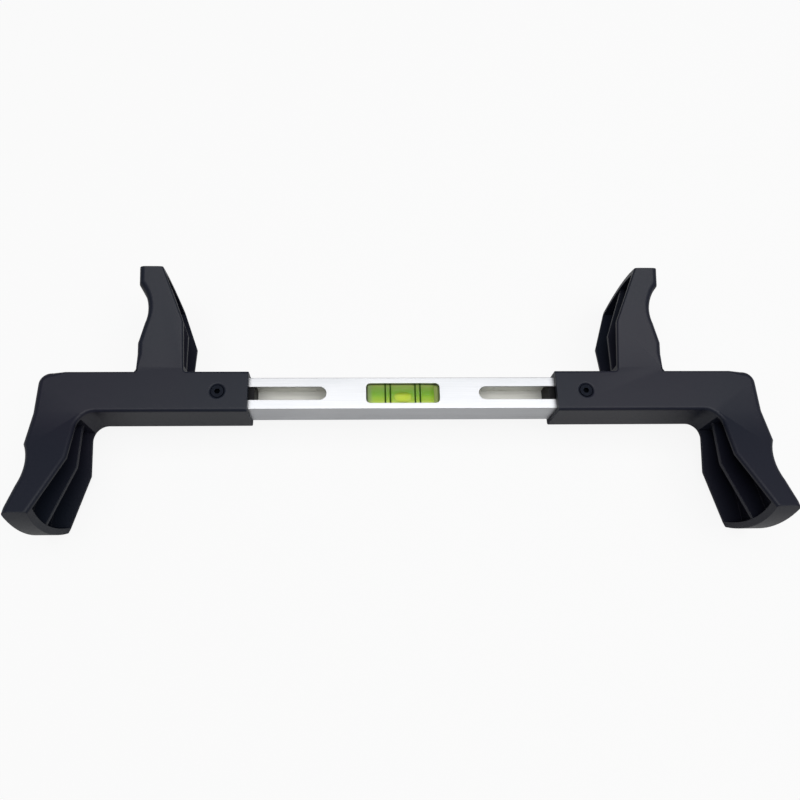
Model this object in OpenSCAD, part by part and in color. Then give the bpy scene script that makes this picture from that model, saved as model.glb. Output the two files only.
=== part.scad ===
// Steering wheel level: a square tube with a bubble vial and two sprung, sliding end casings.
// The jaws reach into a steering wheel and press outwards on its rim while the vial is read.
// It lies on its back: X runs along the tube, Y towards the narrow pair of jaws, Z out of the window.
// The origin is under the middle of the tube, level with the flats that the jaw tips rest on.

/* [Tube] */
// Outside width of the square tube
bar_side = 19; // [17:0.5:21]
// Wall of the square tube
bar_wall = 1.5; // [1.2:0.1:1.8]
// Distance from the middle of the tube to each guide slot
slot_start = 43.6; // [42:0.1:50]
// Width of the guide slots
slot_w = 8; // [7.5:0.1:9]
// Tube left beyond each guide slot
bar_tail = 15.3; // [14:0.1:16.5]
// Length of the vial window
window_len = 42; // [36:0.5:44]
// Height of the vial window
window_h = 12; // [9:0.5:12.5]
// Corner radius of the vial window
window_r = 2.4; // [1:0.1:4]

/* [Slide] */
// How far each casing slides inwards
travel = 57; // [50:0.5:57]
// Gap between the tube and its sleeves on every side
slide_gap = 0.1; // [0.05:0.01:0.2]
// Gap between the slider block and the inside of the tube
block_gap = 0.1; // [0.05:0.01:0.2]
// Gap between the slider's boss and its slot
boss_gap = 0.1; // [0.05:0.01:0.2]
// Length of the slider block
block_len = 28; // [24:0.5:29]
// Distance from the slider block's inner end to its screw
block_screw = 20.1; // [16:0.1:20.2]

/* [Casing] */
// Length of a casing's arm
arm_len = 117.4; // [114:0.1:120]
// Wall of the sleeve beside the tube
sleeve_side = 2.5; // [1.5:0.1:3]
// Wall of the sleeve in front of the tube and behind it
sleeve_face = 4; // [3:0.1:5]
// Distance from the sleeve's mouth to the guide screw
screw_inset = 17; // [12:0.5:20]
// Radius of the arm's outer corner
arm_corner_r = 7; // [4:0.5:9]
// Wall at the closed end of the spring pocket
end_wall = 4.3; // [3:0.1:6]
// Depth of the round spring pocket
pocket_len = 11; // [8:0.5:11]

/* [Jaws] */
// Reach of both pairs of jaws from the tube's centre line
jaw_reach = 76; // [74:0.5:84]
// Depth of the jaws at their tips
jaw_depth = 58; // [50:0.5:64]
// How much the middle of a jaw's end stands beyond its edges
jaw_crown = 5; // [4:0.5:8]
// Height taken off the back of the tips to rest on
rest_flat = 0.6; // [0.3:0.1:1]
// Thickness of the front and back flanges
flange_t = 3; // [2:0.1:4]
// Wall behind the rim notch
jaw_wall = 3.4; // [2.5:0.1:5]
// Wall across the jaw's tip
tip_wall = 3.6; // [2.5:0.1:5]
// Wall between the arm's face and the jaw's hollow
root_wall = 4; // [3:0.1:6]
// Thickness of the middle rib
rib_t = 2.4; // [1.6:0.1:4]
// Distance that the rib stays behind the flange edges
rib_recess = 1.3; // [0.5:0.1:4]
// Height above the arm at which the jaws start to taper
bend_h = 28.1; // [24:0.1:34]
// Width of the jaws at their full reach
tip_w = 11.9; // [9:0.1:14]

/* [Narrow pair] */
// Distance from the casing's outer end to the narrow jaw's outer face
narrow_step = 53.9; // [48:0.1:60]
// Width of the narrow jaw at the arm
narrow_root_w = 26.7; // [23:0.1:28]
// Width of the narrow jaw where it starts to taper
narrow_bend_w = 25.9; // [22:0.1:28]
// Radius of the narrow jaw's rim notch
narrow_rim_r = 20; // [16:0.1:23]
// Depth of the narrow jaw's rim notch
narrow_notch_d = 5.3; // [3:0.1:6.5]
// Height of the deepest point of the notch above the arm
narrow_notch_h = 36; // [34:0.1:40]
// Height above the arm at which the run into the notch starts
narrow_blend_h = 16.5; // [8:0.1:18]
// Radius where the narrow jaw meets the arm
narrow_fillet_r = 2; // [1:0.1:3]

/* [Wide pair] */
// Width of the wide jaw at the arm and where it starts to taper
wide_root_w = 25.3; // [22:0.1:28]
// Radius of the wide jaw's rim notch
wide_rim_r = 31; // [26:0.1:34]
// Depth of the wide jaw's rim notch
wide_notch_d = 3.8; // [3:0.1:4.5]
// Height of the deepest point of the notch below the arm
wide_notch_h = 34.5; // [32:0.1:38]
// Height below the arm at which the run out of the notch ends
wide_blend_h = 56; // [53.5:0.1:60]
// Radius where the wide jaw meets the arm
wide_fillet_r = 9; // [6:0.1:12]

/* [Guide screw] */
// Diameter of the screw's threaded shank
screw_d = 3.9; // [3:0.1:4.2]
// Diameter of the screw's head
head_d = 7; // [6.5:0.1:7.5]
// Height of the screw's head
head_h = 2; // [1.5:0.1:2.4]
// Width across the flats of the hexagon socket
socket_af = 3; // [2.5:0.1:3.5]
// Depth of the hexagon socket
socket_depth = 1.3; // [0.8:0.1:1.4]
// How far the head lies below the casing's face
head_recess = 0.6; // [0.2:0.1:0.9]
// Gap round the screw's head in its counterbore
head_gap = 0.2; // [0.1:0.05:0.4]
// Gap round the shank in the casing and the block
shank_gap = 0.2; // [0.1:0.05:0.4]
// Gap between the shank and the nut's thread
thread_gap = 0.05; // [0.02:0.01:0.08]
// Length of the shank under the head
shank_len = 12; // [10:0.5:14]
// Width across the flats of the nut
nut_af = 7; // [6.5:0.1:8]
// Thickness of the nut
nut_t = 3.2; // [2.5:0.1:4]
// Depth of the nut's seat below the block's front
nut_depth = 5.3; // [4:0.1:6]
// Gap round the nut in its pocket
nut_gap = 0.1; // [0.05:0.05:0.3]

/* [Spring] */
// Outside diameter of the spring
spring_d = 12.5; // [11:0.1:14]
// Diameter of the spring wire
wire_d = 1.2; // [0.8:0.1:1.3]
// Number of turns
spring_turns = 11; // [8:1:12]
// Gap between the wire of each closed end turn and the next
end_turn_gap = 0.6; // [0.5:0.1:1]
// Gap between the spring and what it bears on
seat_gap = 0.1; // [0.05:0.05:0.3]
// Gap round the spring in its pocket
pocket_gap = 0.75; // [0.3:0.05:1]

/* [Tube plug] */
// Thickness of the plug's flange
plug_flange = 1.5; // [1:0.1:2]
// Length of the plug inside the tube
plug_spigot = 8; // [5:0.5:9]
// Gap between the plug and the tube's inside
plug_gap = 0.1; // [0.05:0.01:0.2]
// Length of the stub that centres the spring
stub_len = 3; // [2:0.1:4]
// Gap between the stub and the inside of the spring
stub_gap = 0.35; // [0.2:0.05:0.6]

/* [Vial] */
// Outside diameter of the vial
vial_d = 12.7; // [11:0.1:13]
// Length of the vial
vial_len = 46; // [44:0.5:47]
// Diameter of the vial's bore at its middle
bore_d = 9.5; // [8.5:0.1:10]
// How much narrower the barrel shaped bore is at its ends, on the radius
barrel_sag = 0.3; // [0.1:0.05:0.5]
// Wall at the vial's closed end
vial_end = 3; // [2:0.1:4]
// Length of the vial's plug
vial_plug_len = 5; // [4:0.1:6]
// Gap between the vial's top and the tube's inside
vial_gap = 0.15; // [0.1:0.05:0.4]
// Gap between the liquid, the plug and the bore
fill_gap = 0.05; // [0.02:0.01:0.1]
// Distance between the two inner lines
line_inner = 14.2; // [12:0.1:18]
// Distance between the two lines of a pair
line_pair = 2.9; // [2:0.1:4]
// Width of a line
line_w = 0.95; // [0.6:0.05:1.2]
// Thickness of a line's paint
line_t = 0.08; // [0.04:0.01:0.1]
// Gap under a line's paint
line_gap = 0.02; // [0.01:0.01:0.04]

/* [Bubble] */
// Length of the bubble
bubble_len = 10.4; // [8:0.1:12]
// Width of the bubble
bubble_w = 6.4; // [5:0.1:7]
// Height of the bubble
bubble_h = 2.4; // [1.5:0.1:2.8]
// How far the bubble moves either way
bubble_travel = 10; // [6:0.5:10.5]
// Gap between the bubble and its surroundings
bubble_gap = 0.1; // [0.05:0.01:0.15]

/* [Cradle] */
// Thickness of the posts at the cradle's ends
post_t = 3; // [2:0.1:3.2]
// Gap between the vial and its cradle
cradle_gap = 0.2; // [0.15:0.05:0.3]
// Gap between the cradle and the tube's inside
cradle_fit = 0.1; // [0.05:0.01:0.2]

/* [Hidden] */
$fn = 96;
// How far the straight run beside a notch cuts into the notch's circle
blend_bite = 0.15;
// Sides of the large arcs on the jaws
arc_sides = 240;
// Overshoot that lets a cut run clear of a face
over = 1;

arm_h = bar_side + 2 * (slide_gap + sleeve_side);
arm_d = bar_side + 2 * (slide_gap + sleeve_face);
bar_z = jaw_depth / 2 - rest_flat;
inner_side = bar_side - 2 * bar_wall;
tunnel_side = bar_side + 2 * slide_gap;

// Places along the tube, with each casing at its outer stop
screw_x = slot_start + slot_w / 2 + travel;
mouth_x = screw_x - screw_inset;
outer_x = mouth_x + arm_len;
narrow_x = outer_x - narrow_step;
slot_end = screw_x + slot_w / 2;
bar_end = slot_end + bar_tail;
seat_x = outer_x - end_wall;
tunnel_end = seat_x - pocket_len;
block_x = screw_x - block_screw;
spring_x = bar_end + plug_flange;

// Shape of the jaws, as heights above the arm's face and depths from the middle plane
tip_h = jaw_reach - arm_h / 2;
edge_h = tip_h - jaw_crown;
flare = (jaw_depth - arm_d) / 2 / edge_h;
crown_r = (pow(jaw_depth / 2, 2) + pow(jaw_crown, 2)) / (2 * jaw_crown);

// Sizes of the screw's holes
block_w = inner_side - 2 * block_gap;
boss_d = slot_w - 2 * boss_gap;
shank_hole = screw_d + 2 * shank_gap;
head_seat = arm_d / 2 - head_recess - head_h;
nut_z = block_w / 2 - nut_depth;

// The vial and what lies in it
vial_z = inner_side / 2 - vial_gap - vial_d / 2;
bore_from = -vial_len / 2 + vial_end;
bore_to = vial_len / 2 - vial_plug_len;
bore_end_r = bore_d / 2 - barrel_sag;
bubble_r = bore_end_r - fill_gap;
bubble_floor = bubble_r - bubble_h;
bore_steps = 8;
post_x = vial_len / 2 + cradle_gap;

// The spring's wire
coil_r = (spring_d - wire_d) / 2;
spring_len = seat_x - spring_x - 2 * seat_gap;
end_pitch = wire_d + end_turn_gap;
pitch = (spring_len - wire_d - 2 * end_pitch) / (spring_turns - 2);
wire_sides = 6;
turn_rings = 8;

// Colours
black_plastic = "#2b2e34";
dark_plastic = "#1c1d20";
bare_aluminium = "#d3d5d8";
black_steel = "#202124";
spring_steel = "#9a9da1";
pale_plastic = "#eceee6";
clear_acrylic = "#cfe8c8";
vial_green = "#8cc63f";
bubble_green = "#d8ec6a";
plug_olive = "#7f8452";
line_black = "#14200f";

// Point just inside the circle of radius r about c that the straight run from point b heads for
function touch(c, r, b, side) =
    let(q = r - blend_bite, v = b - c, a = atan2(v[1], v[0]) + side * acos(q / norm(v)))
    c + q * [cos(a), sin(a)];

// Radius of the barrel shaped bore at x
function bore_r(x) =
    let(mid = (bore_from + bore_to) / 2, half = (bore_to - bore_from) / 2)
    bore_d / 2 - barrel_sag * pow((x - mid) / half, 2);

// Moves the right hand half's parts to the side asked for
module to_side(side) {
    if (side == "left") mirror([1, 0, 0]) children();
    else children();
}

// Raises parts drawn about the tube's axis to their place above the ground
module on_axis() translate([0, 0, bar_z]) children();

// A box drawn from its low corner in x and centred on the tube's axis
module along(from, to, w, d) translate([from, -w / 2, -d / 2]) cube([to - from, w, d]);

// A rod along x
module rod(from, to, r) translate([from, 0, 0]) rotate([0, 90, 0]) cylinder(r = r, h = to - from);

// A hexagonal prism standing on z
module hexagon(af, from, to) {
    translate([0, 0, from]) cylinder(d = af / cos(30), h = to - from, $fn = 6);
}

// A slot's or bubble's plan: a bar with round ends
module round_bar(len, w) {
    square([len - w, w], center = true);
    for (s = [-1, 1]) translate([s * (len - w) / 2, 0]) circle(d = w);
}

// A rectangle with rounded corners
module round_rect(len, w, r) {
    square([len - 2 * r, w], center = true);
    square([len, w - 2 * r], center = true);
    for (i = [-1, 1], j = [-1, 1]) translate([i * (len / 2 - r), j * (w / 2 - r)]) circle(r = r);
}

// Side view of a jaw: it flares from the arm's depth and ends in a crown
module jaw_side(face_inset, tip_inset, back_cut) {
    half = arm_d / 2 - face_inset;
    top = half + flare * tip_h;
    intersection() {
        polygon([[-over, -half], [0, -half], [tip_h, -top], [tip_h, top], [0, half], [-over, half]]);
        translate([tip_h - crown_r, 0]) circle(r = crown_r - tip_inset, $fn = arc_sides);
        translate([-over, -jaw_depth / 2 + back_cut]) square([tip_h + 2 * over, jaw_depth + over]);
    }
}

// The same shape as a solid that runs along x
module jaw_block(face_inset, tip_inset, back_cut) {
    run = narrow_root_w + wide_root_w;
    translate([-run, 0, 0]) rotate([90, 0, 90]) linear_extrude(run + over)
        jaw_side(face_inset, tip_inset, back_cut);
}

// Front view of a jaw. Its outer face is at x = 0 and the arm's face at y = 0.
// The notch has a sharp corner towards the tip (side = -1) or towards the arm (side = 1).
// inset draws the line that lies that far inside the outer face and the notch, shift moves the
// inner side outwards, and from is the height at which the outline starts.
module jaw_front(root_w, bend_w, rim_r, notch_d, notch_h, blend_h, side, inset, shift, from) {
    centre = [rim_r - notch_d, notch_h];
    r = rim_r + inset;
    corner = [-inset, notch_h - side * (sqrt(r * r - pow(centre[0] + inset, 2)) - over)];
    blend = [-inset, blend_h];
    edge = side < 0 ? [blend, touch(centre, r, blend, side), corner]
                    : [corner, touch(centre, r, blend, side), blend];
    difference() {
        polygon(concat(
            [[-inset, from]], edge, [[-inset, tip_h]],
            [[shift - tip_w, tip_h], [shift - bend_w, bend_h], [shift - root_w, from]]
        ));
        translate(centre) circle(r = r, $fn = arc_sides);
    }
}

// Where a jaw's inner side lies at height h above the arm's face
function inner_x(root_w, bend_w, h) = (root_w - bend_w) * (h + over) / (bend_h + over) - root_w;

// The round fill between a jaw's side at x and the arm, in the corner that opens along x
module root_fillet(x, r, dir) {
    difference() {
        translate([dir < 0 ? x - r : x - over, -over]) square(r + over);
        translate([x + dir * r, r]) circle(r = r);
    }
}

// One jaw: an E shaped channel that opens towards the middle of the tool
module jaw(root_w, bend_w, rim_r, notch_d, notch_h, blend_h, side, fillet_r, outer_fillet) {
    difference() {
        intersection() {
            linear_extrude(2 * jaw_depth, center = true) {
                jaw_front(root_w, bend_w, rim_r, notch_d, notch_h, blend_h, side, 0, 0, -over);
                root_fillet(inner_x(root_w, bend_w, fillet_r), fillet_r, -1);
                if (outer_fillet) root_fillet(0, fillet_r, 1);
            }
            jaw_block(0, 0, rest_flat);
        }
        difference() {
            intersection() {
                linear_extrude(2 * jaw_depth, center = true)
                    jaw_front(
                        root_w + fillet_r + over, bend_w + fillet_r + over, rim_r, notch_d, notch_h,
                        blend_h, side, jaw_wall, -fillet_r, root_wall
                    );
                jaw_block(flange_t, tip_wall, rest_flat + flange_t);
            }
            linear_extrude(rib_t, center = true)
                jaw_front(
                    root_w, bend_w, rim_r, notch_d, notch_h, blend_h, side, 0, rib_recess, 0
                );
        }
    }
}

module narrow_jaw() {
    translate([narrow_x, arm_h / 2, 0])
        jaw(
            narrow_root_w, narrow_bend_w, narrow_rim_r, narrow_notch_d, narrow_notch_h,
            narrow_blend_h, -1, narrow_fillet_r, true
        );
}

module wide_jaw() {
    translate([outer_x, -arm_h / 2, 0]) mirror([0, 1, 0])
        jaw(
            wide_root_w, wide_root_w, wide_rim_r, wide_notch_d, wide_notch_h,
            wide_blend_h, 1, wide_fillet_r, false
        );
}

// The sleeve's outside, with its rounded outer corner on the narrow jaw's side
module arm() {
    linear_extrude(arm_d, center = true) {
        translate([mouth_x, -arm_h / 2]) square([arm_len - arm_corner_r, arm_h]);
        translate([mouth_x, -arm_h / 2]) square([arm_len, arm_h - arm_corner_r]);
        translate([outer_x - arm_corner_r, arm_h / 2 - arm_corner_r]) circle(r = arm_corner_r);
    }
}

// One moulding: the sleeve that slides on the tube, with a narrow and a wide jaw
module casing(side) {
    color(black_plastic) to_side(side) on_axis() difference() {
        union() {
            arm();
            narrow_jaw();
            wide_jaw();
        }
        along(mouth_x - over, tunnel_end, tunnel_side, tunnel_side);
        rod(tunnel_end - over, seat_x, spring_d / 2 + pocket_gap);
        translate([screw_x, 0, 0]) {
            cylinder(d = shank_hole, h = arm_d);
            translate([0, 0, head_seat]) cylinder(d = head_d + 2 * head_gap, h = arm_d);
        }
    }
}

// Square extrusion with the vial window and the two guide slots in its front wall only
module bar_tube() {
    color(bare_aluminium) on_axis() difference() {
        along(-bar_end, bar_end, bar_side, bar_side);
        along(-bar_end - over, bar_end + over, inner_side, inner_side);
        linear_extrude(bar_side) {
            round_rect(window_len, window_h, window_r);
            for (s = [-1, 1])
                translate([s * (slot_start + slot_end) / 2, 0]) round_bar(slot_end - slot_start, slot_w);
        }
    }
}

// Block that slides inside the tube; its boss stands in the slot and meets the casing's wall
module slider_block(side) {
    color(dark_plastic) to_side(side) on_axis() difference() {
        union() {
            along(block_x, block_x + block_len, block_w, block_w);
            translate([screw_x, 0, 0]) cylinder(d = boss_d, h = tunnel_side / 2);
        }
        translate([screw_x, 0, 0]) {
            translate([0, 0, nut_z - over]) cylinder(d = shank_hole, h = bar_side);
            hexagon(nut_af + 2 * nut_gap, -bar_side, nut_z);
        }
    }
}

// Low head screw that ties the casing to the slider block
module guide_screw(side) {
    color(black_steel) to_side(side) on_axis() translate([screw_x, 0, 0]) {
        difference() {
            union() {
                translate([0, 0, head_seat]) cylinder(d = head_d, h = head_h);
                translate([0, 0, head_seat - shank_len]) cylinder(d = screw_d, h = shank_len + over);
            }
            hexagon(socket_af, head_seat + head_h - socket_depth, head_seat + head_h + over);
        }
    }
}

// Nut trapped in the slider block
module block_nut(side) {
    color(spring_steel) to_side(side) on_axis() translate([screw_x, 0, 0]) difference() {
        hexagon(nut_af, nut_z - nut_t, nut_z);
        translate([0, 0, nut_z - nut_t - over])
            cylinder(d = screw_d + 2 * thread_gap, h = nut_t + 2 * over);
    }
}

// Plug in the tube's end: it closes the tube and carries the spring
module tube_plug(side) {
    spigot = inner_side - 2 * plug_gap;
    stub_r = coil_r - wire_d / 2 - stub_gap;
    color(dark_plastic) to_side(side) on_axis() {
        along(bar_end, spring_x, bar_side, bar_side);
        along(bar_end - plug_spigot, bar_end + plug_flange / 2, spigot, spigot);
        rod(bar_end + plug_flange / 2, spring_x + stub_len, stub_r);
    }
}

// Height of the wire's centre above the spring's lower end after t turns
function coil_rise(t) =
    wire_d / 2 + (
        t < 1 ? t * end_pitch
        : t < spring_turns - 1 ? end_pitch + (t - 1) * pitch
        : end_pitch + (spring_turns - 2) * pitch + (t - spring_turns + 1) * end_pitch
    );

coil_centres = [
    for (i = [0 : spring_turns * turn_rings])
        let(t = i / turn_rings, a = 360 * t)
        [coil_rise(t), coil_r * cos(a), coil_r * sin(a)]
];

// Six sided ring of points round centre i, square to the wire
function coil_ring(i) =
    let(
        last = len(coil_centres) - 1,
        c = coil_centres[i],
        d = coil_centres[min(i + 1, last)] - coil_centres[max(i - 1, 0)],
        along_wire = d / norm(d),
        out = [0, c[1], c[2]] / coil_r,
        up = cross(along_wire, out)
    )
    [for (k = [0 : wire_sides - 1])
        let(a = 360 * k / wire_sides) c + wire_d / 2 * (cos(a) * out + sin(a) * up)];

// Least space between turns of the wire, over pairs of points at least half a turn apart
coil_space = min([
    for (i = [0 : len(coil_centres) - 1])
        for (j = [i + turn_rings / 2 : 1 : len(coil_centres) - 1])
            norm(coil_centres[i] - coil_centres[j])
]) - wire_d;
echo(str("least space between the spring's turns, mm: ", coil_space));

// Compression spring between the tube's plug and the casing's closed end
module spring(side) {
    rings = len(coil_centres);
    points = [for (i = [0 : rings - 1]) each coil_ring(i)];
    first_cap = [for (k = [1 : wire_sides - 2]) [0, k, k + 1]];
    last_cap = [for (k = [1 : wire_sides - 2]) (rings - 1) * wire_sides * [1, 1, 1] + [0, k + 1, k]];
    wall = [
        for (i = [0 : rings - 2], k = [0 : wire_sides - 1])
            let(
                n = (k + 1) % wire_sides,
                a = i * wire_sides + k, b = i * wire_sides + n,
                c = a + wire_sides, d = b + wire_sides
            )
            each [[a, c, b], [b, c, d]]
    ];
    color(spring_steel) to_side(side) on_axis() translate([spring_x + seat_gap, 0, 0])
        polyhedron(points, concat(first_cap, wall, last_cap));
}

// Trough with a post at each end that holds the vial up against the window
module vial_cradle() {
    width = inner_side - 2 * cradle_fit;
    color(pale_plastic) on_axis() {
        difference() {
            translate([-post_x, -width / 2, -width / 2])
                cube([2 * post_x, width, width / 2 + vial_z]);
            translate([0, 0, vial_z]) rod(-post_x - over, post_x + over, vial_d / 2 + cradle_gap);
        }
        for (s = [0, 1]) mirror([s, 0, 0]) along(post_x, post_x + post_t, width, width);
    }
}

// Half outline of the bore, from the closed end to the plug, drawn along its axis
module bore_outline(gap) {
    from = bore_from + gap;
    to = bore_to - gap;
    step = (to - from) / bore_steps;
    polygon(concat(
        [[0, from]],
        [for (i = [0 : bore_steps]) let(x = from + i * step) [bore_r(x) - gap, x]],
        [[0, to]]
    ));
}

// Turns an outline about the vial's axis
module turned_vial() translate([0, 0, vial_z]) rotate([0, 90, 0]) rotate_extrude() children();

// Clear moulding, closed at its left end, with a barrel shaped bore
module vial_body() {
    color(clear_acrylic) on_axis() difference() {
        translate([0, 0, vial_z]) rod(-vial_len / 2, vial_len / 2, vial_d / 2);
        turned_vial() bore_outline(0);
        translate([0, 0, vial_z]) rod(bore_to - fill_gap, vial_len / 2 + over, bore_end_r);
    }
}

// Plug that seals the vial's right end
module vial_plug() {
    color(plug_olive) on_axis() translate([0, 0, vial_z])
        rod(bore_to + fill_gap, vial_len / 2, bore_end_r - fill_gap);
}

// Plan of the bubble, or of the space it sweeps, cut from the top of the bore
module bubble_space(len, w, floor) {
    translate([0, 0, vial_z + floor]) linear_extrude(vial_d) round_bar(len, w);
}

// Coloured filling, with the path of the bubble left open along its top
module vial_liquid() {
    color(vial_green) on_axis() difference() {
        turned_vial() bore_outline(fill_gap);
        bubble_space(
            bubble_len + 2 * (bubble_travel + bubble_gap), bubble_w + 2 * bubble_gap,
            bubble_floor - bubble_gap
        );
    }
}

module vial_bubble() {
    color(bubble_green) on_axis() intersection() {
        bubble_space(bubble_len, bubble_w, bubble_floor);
        translate([0, 0, vial_z]) rod(-bubble_len, bubble_len, bubble_r);
    }
}

// One painted band round the vial; 1 and 2 are the left pair, 3 and 4 the right pair
module vial_line(n) {
    offset_x = line_inner / 2 + (n == 1 || n == 4 ? line_pair : 0);
    x = (n < 3 ? -1 : 1) * offset_x;
    r = vial_d / 2 + line_gap;
    color(line_black) on_axis() translate([0, 0, vial_z]) difference() {
        rod(x - line_w / 2, x + line_w / 2, r + line_t);
        rod(x - line_w, x + line_w, r);
    }
}

bar_tube();
casing("left");  // left_casing
casing("right");  // right_casing
slider_block("left");  // left_slider_block
slider_block("right");  // right_slider_block
guide_screw("left");  // left_guide_screw
guide_screw("right");  // right_guide_screw
block_nut("left");  // left_block_nut
block_nut("right");  // right_block_nut
spring("left");  // left_spring
spring("right");  // right_spring
tube_plug("left");  // left_tube_plug
tube_plug("right");  // right_tube_plug
vial_cradle();
vial_body();
vial_plug();
vial_liquid();
vial_bubble();
vial_line(1);  // vial_line_1
vial_line(2);  // vial_line_2
vial_line(3);  // vial_line_3
vial_line(4);  // vial_line_4
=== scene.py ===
import math
from contextlib import contextmanager

import bmesh
import bpy
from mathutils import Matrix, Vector
from mathutils.geometry import delaunay_2d_cdt


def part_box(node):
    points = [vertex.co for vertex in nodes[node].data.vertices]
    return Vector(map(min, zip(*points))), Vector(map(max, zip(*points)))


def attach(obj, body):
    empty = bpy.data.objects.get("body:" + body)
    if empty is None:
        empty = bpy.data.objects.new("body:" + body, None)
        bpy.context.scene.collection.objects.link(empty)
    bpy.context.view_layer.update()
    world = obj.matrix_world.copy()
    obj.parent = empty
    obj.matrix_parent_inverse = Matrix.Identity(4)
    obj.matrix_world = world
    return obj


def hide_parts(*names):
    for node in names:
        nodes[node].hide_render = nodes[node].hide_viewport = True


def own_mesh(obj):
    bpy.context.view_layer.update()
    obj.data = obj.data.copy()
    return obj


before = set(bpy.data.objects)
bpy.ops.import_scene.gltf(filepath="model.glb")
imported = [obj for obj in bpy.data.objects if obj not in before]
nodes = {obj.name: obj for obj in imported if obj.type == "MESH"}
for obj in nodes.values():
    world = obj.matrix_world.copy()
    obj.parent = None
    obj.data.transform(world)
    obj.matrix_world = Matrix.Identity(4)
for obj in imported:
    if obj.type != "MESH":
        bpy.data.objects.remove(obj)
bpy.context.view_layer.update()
scene = bpy.context.scene
mm = 0.001
axisHeight = 28.4 * mm  # the tube's centre line above the table
# how close, in mm, counts as straight, as in place and as on a surface
straightGap, placeGap, surfaceGap = 0.01, 0.02, 0.05
# how much of a direction lies along an axis when it leans that way, runs that way and keeps to it
leaning, running, keeping = 0.5, 0.9, 0.98
print("frame loaded:", len(nodes), "CAD nodes")


# small helpers

def hexColour(text):
    # sRGB hex to the linear colour that Blender's sockets take
    parts = [int(text[i:i + 2], 16) / 255 for i in (1, 3, 5)]
    linear = [p / 12.92 if p <= 0.04045 else ((p + 0.055) / 1.055) ** 2.4 for p in parts]
    return (*linear, 1.0)


def addNode(tree, kind, settings=None, inputs=None):
    # settings are the node's own properties, or a ramp's stops as (position, colour) pairs, where a
    # colour is a hex text or a grey level; an input is a value, an output, or a node whose first
    # output is meant
    node = tree.nodes.new(kind)
    for name, value in (settings or {}).items():
        if name != "stops":
            setattr(node, name, value)
            continue
        elements = node.color_ramp.elements
        while len(elements) < len(value):
            elements.new(0.5)
        for element, (position, colour) in zip(elements, value):
            element.position = position
            element.color = hexColour(colour) if isinstance(colour, str) else (*[colour] * 3, 1)
    for name, value in (inputs or {}).items():
        if isinstance(value, bpy.types.Node):
            value = value.outputs[0]
        if isinstance(value, bpy.types.NodeSocket):
            tree.links.new(value, node.inputs[name])
        else:
            node.inputs[name].default_value = value
    return node


def meshPiece(name, points, faces, material, smooth=True):
    # an object at the origin whose place is in its mesh
    mesh = bpy.data.meshes.new(name)
    mesh.from_pydata([Vector(p) for p in points], [], faces)
    mesh.materials.append(material)
    mesh.polygons.foreach_set("use_smooth", [smooth] * len(mesh.polygons))
    mesh.update()
    piece = bpy.data.objects.new(name, mesh)
    scene.collection.objects.link(piece)
    return piece


@contextmanager
def edited(piece):
    # the piece's mesh opened for editing, and written back at the end
    work = bmesh.new()
    work.from_mesh(piece.data)
    yield work
    work.to_mesh(piece.data)
    work.free()


def outward(piece):
    with edited(piece) as work:
        bmesh.ops.recalc_face_normals(work, faces=work.faces)
    return piece


def applyModifiers(piece):
    graph = bpy.context.evaluated_depsgraph_get()
    mesh = bpy.data.meshes.new_from_object(piece.evaluated_get(graph))
    piece.modifiers.clear()
    piece.data = mesh


# copies of CAD nodes, made ready for rounds

copying = {
    "keysPerMetre": 1e6,  # corners in the same cube of a micron become one
    "flatAngle": 0.4,  # degrees, below which two faces become one
    "flatCosine": 0.99999,  # of the angle below which faces lie level
    "solver": 1e-9,  # m, how close two of a flat's corners may lie
}
rounding = {
    "sharpAngle": 30,  # degrees, from which an edge gets a round
    "segments": 2,
    "room": 0.45,  # the share of the faces beside it that a round may take
}


def insideEdges(point, edges):
    # whether a 2-D point has an odd number of the edges on its right
    inside = False
    for a, b in edges:
        if (a.y > point.y) != (b.y > point.y):
            if point.x < a.x + (b.x - a.x) * (point.y - a.y) / (b.y - a.y):
                inside = not inside
    return inside


def levelFaces(first):
    # the flat that a face lies in: it and all the faces that lie level beside it
    flat, ahead = {first}, [first]
    while ahead:
        for edge in ahead.pop().edges:
            for face in edge.link_faces:
                level = face.normal.dot(first.normal) > copying["flatCosine"]
                if level and face not in flat:
                    flat.add(face)
                    ahead.append(face)
    return flat


def inOrder(edges):
    # edges by their corners' numbers, so that every run takes them in the same order
    return sorted(edges, key=lambda edge: sorted(v.index for v in edge.verts))


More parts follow.
